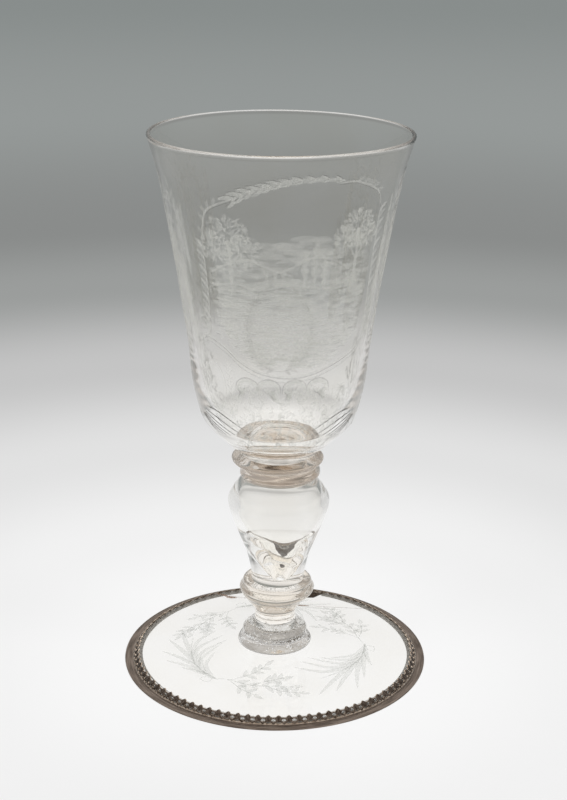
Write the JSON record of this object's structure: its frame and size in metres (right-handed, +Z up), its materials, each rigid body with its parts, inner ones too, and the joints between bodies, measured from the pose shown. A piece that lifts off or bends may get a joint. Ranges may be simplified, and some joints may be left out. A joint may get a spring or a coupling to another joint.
{
  "type": "goblet",
  "caption": "Stemmed glass goblet with a flared engraved bowl, baluster stem and round foot in a pierced silver mount.",
  "frame": {"origin": "centre of the mount's flat underside, on the surface the goblet stands on", "axes": "+Z up along the stem to the rim, +X to the right, +Y to the back, where the foot was mended"},
  "size_m": [0.1376, 0.1376, 0.24],
  "materials": {
    "bowl_glass": "clear blown glass with wheel-engraved matt ornament",
    "stem_glass": "clear solid glass with a faint warm grey tint",
    "foot_glass": "clear glass with engraved sprays",
    "fill_metal": "dark granular tarnished sheet metal",
    "mount_silver": "tarnished silver, brown-grey, satin",
    "gallery_silver": "dark tarnished pierced silver"
  },
  "bodies": {
    "root": {"bowl": "bowl_glass", "bowl_merese": "stem_glass", "collar_ring": "stem_glass", "baluster": "stem_glass", "lower_merese": "stem_glass", "stem_neck": "stem_glass", "foot_knop": "stem_glass", "base_ring": "stem_glass", "foot_plate": "foot_glass", "foot_fragment": "foot_glass", "fill_plate": "fill_metal", "mount_ring": "mount_silver", "mount_gallery": "gallery_silver"}
  },
  "joints": []
}
